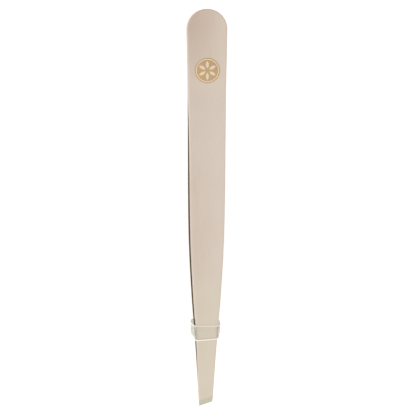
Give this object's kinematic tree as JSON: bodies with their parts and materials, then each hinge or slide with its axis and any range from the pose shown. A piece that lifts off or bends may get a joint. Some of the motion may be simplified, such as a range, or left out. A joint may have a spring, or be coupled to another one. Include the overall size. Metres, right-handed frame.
{
  "type": "slant tweezers",
  "caption": "Slant tweezers with bowed steel arms welded at a round head, slanted ground tips, and a clear sleeve that holds the tips closed.",
  "frame": {"origin": "bottom centre of the bounding box, with the tweezers lying flat on the belly of the rear arm", "axes": "+X across the width, towards the shorter corner of the slanted tips; +Y along the arms towards the round head; +Z out of the front arm, the one with the emblem"},
  "size_m": [0.0096, 0.095, 0.0058],
  "materials": {
    "champagne_steel": "satin champagne coating",
    "weld_steel": "bare fused steel",
    "gold_foil": "satin gold foil",
    "pale_foil": "pale satin foil",
    "clear_plastic": "clear glossy soft plastic"
  },
  "bodies": {
    "rear_blade": {"rear_arm_blade": "champagne_steel"},
    "head": {"front_arm_head": "champagne_steel", "rear_arm_head": "champagne_steel", "spot_welds": "weld_steel", "emblem_disc": "gold_foil", "emblem_motif": "pale_foil"},
    "front_blade": {"front_arm_blade": "champagne_steel"},
    "sleeve": {"tip_sleeve": "clear_plastic"}
  },
  "joints": [
    {"name": "rear_arm_flex", "type": "hinge", "parent": "rear_blade", "child": "head", "pos_m": [0, 0.0225, 0.00163], "axis": [-1, 0, 0], "range_deg": [0, 3.6], "stiffness_Nm_per_rad": 1.5, "springref_deg": 3.6},
    {"name": "front_arm_flex", "type": "hinge", "parent": "head", "child": "front_blade", "pos_m": [0, 0.0225, 0.00407], "axis": [-1, 0, 0], "range_deg": [0, 3.6], "stiffness_Nm_per_rad": 1.5, "springref_deg": 3.6},
    {"name": "sleeve_slide", "type": "slide", "parent": "rear_blade", "child": "sleeve", "axis": [0, -0.999, 0.0454], "range_m": [0, 0.0755]}
  ],
  "couplings": [
    {"joint": "front_arm_flex", "follows": "rear_arm_flex", "ratio": 1},
    {"joint": "sleeve_slide", "follows": "rear_arm_flex", "m_per_rad": 1.2}
  ]
}
